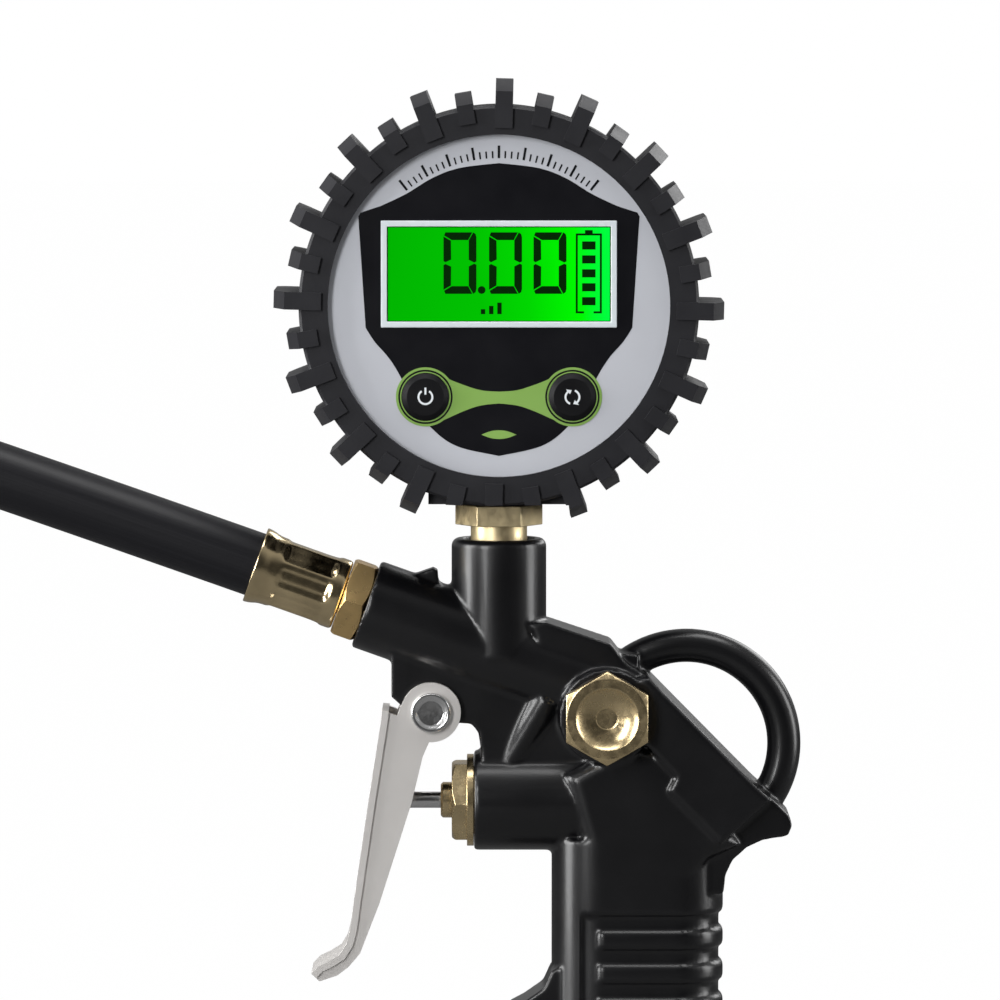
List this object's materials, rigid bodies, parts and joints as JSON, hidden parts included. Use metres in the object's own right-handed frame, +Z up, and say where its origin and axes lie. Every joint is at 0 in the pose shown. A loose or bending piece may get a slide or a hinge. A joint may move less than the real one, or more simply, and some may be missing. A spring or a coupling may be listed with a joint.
{
  "type": "tyre inflator with gauge",
  "caption": "Pistol-grip air-line tyre inflator with a digital pressure gauge in a toothed rubber boot, a squeeze trigger, a hanging loop and a short hose with a clip-on tyre chuck.",
  "frame": {"origin": "tip of the air-line plug under the grip, on the plug's axis", "axes": "+Z up along the grip towards the gauge, +X from the trigger towards the grip's back, the gauge faces -Y"},
  "size_m": [0.3538, 0.0285, 0.2833],
  "materials": {
    "black_coated_casting": "satin black coating on die-cast metal",
    "brass": "machined brass",
    "plated_steel": "satin nickel-plated sheet steel",
    "steel": "bright steel",
    "hose_rubber": "semi-matt black rubber hose cover",
    "boot_rubber": "matt black moulded rubber",
    "seal_rubber": "matt black nitrile rubber",
    "case_plastic": "black moulded plastic",
    "face_silver": "silver printed face",
    "white_plastic": "white plastic",
    "display_green": "backlit green display",
    "button_black": "black silicone-coated cap",
    "board_green": "solder-masked circuit board",
    "cell_wrap": "plain shrink-wrapped cell"
  },
  "bodies": {
    "housing": {"body_casting": "black_coated_casting", "inlet_plug": "steel", "inlet_seal": "seal_rubber", "inlet_screen": "steel", "valve_gland_nut": "brass", "gland_seal": "seal_rubber", "stem_bush": "brass", "stem_o_ring": "seal_rubber", "valve_spacer": "brass", "valve_seat": "brass", "valve_spring": "steel", "side_plug": "brass", "side_plug_seal": "seal_rubber", "trigger_rivet": "steel", "gauge_boot": "boot_rubber", "gauge_case": "case_plastic", "case_seal": "seal_rubber", "case_screws": "steel", "face_plate": "face_silver", "lcd_frame": "white_plastic", "lcd_glass": "display_green", "backlight": "white_plastic", "circuit_board": "board_green", "button_switches": "case_plastic", "pressure_sensor": "case_plastic", "sensor_gasket": "seal_rubber", "gauge_stem": "brass", "gauge_stem_seal": "seal_rubber", "gauge_stem_nut": "brass", "batteries": "cell_wrap", "battery_contacts": "steel", "battery_door": "case_plastic", "door_screws": "steel", "hose_fitting": "brass", "hose_ferrule": "brass", "hose": "hose_rubber", "chuck_ferrule": "brass", "chuck_fitting": "brass", "chuck_body": "brass", "chuck_seal": "seal_rubber", "chuck_depressor": "brass", "chuck_lever_pin": "steel", "chuck_lever_spring": "steel"},
    "trigger": {"trigger": "plated_steel"},
    "valve_stem": {"valve_stem": "steel", "poppet_seal": "seal_rubber", "valve_poppet": "brass"},
    "power_button": {"power_button": "button_black"},
    "function_button": {"function_button": "button_black"},
    "chuck_lever": {"chuck_lever": "plated_steel"}
  },
  "joints": [
    {"name": "trigger_pivot", "type": "hinge", "parent": "housing", "child": "trigger", "pos_m": [-0.0381, 0, 0.1355], "axis": [0, -1, 0], "range_deg": [0, 15], "stiffness_Nm_per_rad": 1.5, "springref_deg": -8.59},
    {"name": "valve_slide", "type": "slide", "parent": "housing", "child": "valve_stem", "axis": [1, 0, 0], "range_m": [0, 0.0046], "deforming": ["valve_spring"]},
    {"name": "power_press", "type": "slide", "parent": "housing", "child": "power_button", "axis": [0, 1, 0], "range_m": [0, 0.0005], "stiffness_N_per_m": 60, "springref_m": -0.0005},
    {"name": "function_press", "type": "slide", "parent": "housing", "child": "function_button", "axis": [0, 1, 0], "range_m": [0, 0.0005], "stiffness_N_per_m": 60, "springref_m": -0.0005},
    {"name": "chuck_lever_pivot", "type": "hinge", "parent": "housing", "child": "chuck_lever", "pos_m": [-0.30141, 0, -0.01554], "axis": [0, -1, 0], "range_deg": [0, 12], "stiffness_Nm_per_rad": 0.2, "springref_deg": -8.59, "deforming": ["chuck_lever_spring"]}
  ],
  "couplings": [
    {"joint": "valve_slide", "follows": "trigger_pivot", "m_per_rad": 0.0172}
  ]
}
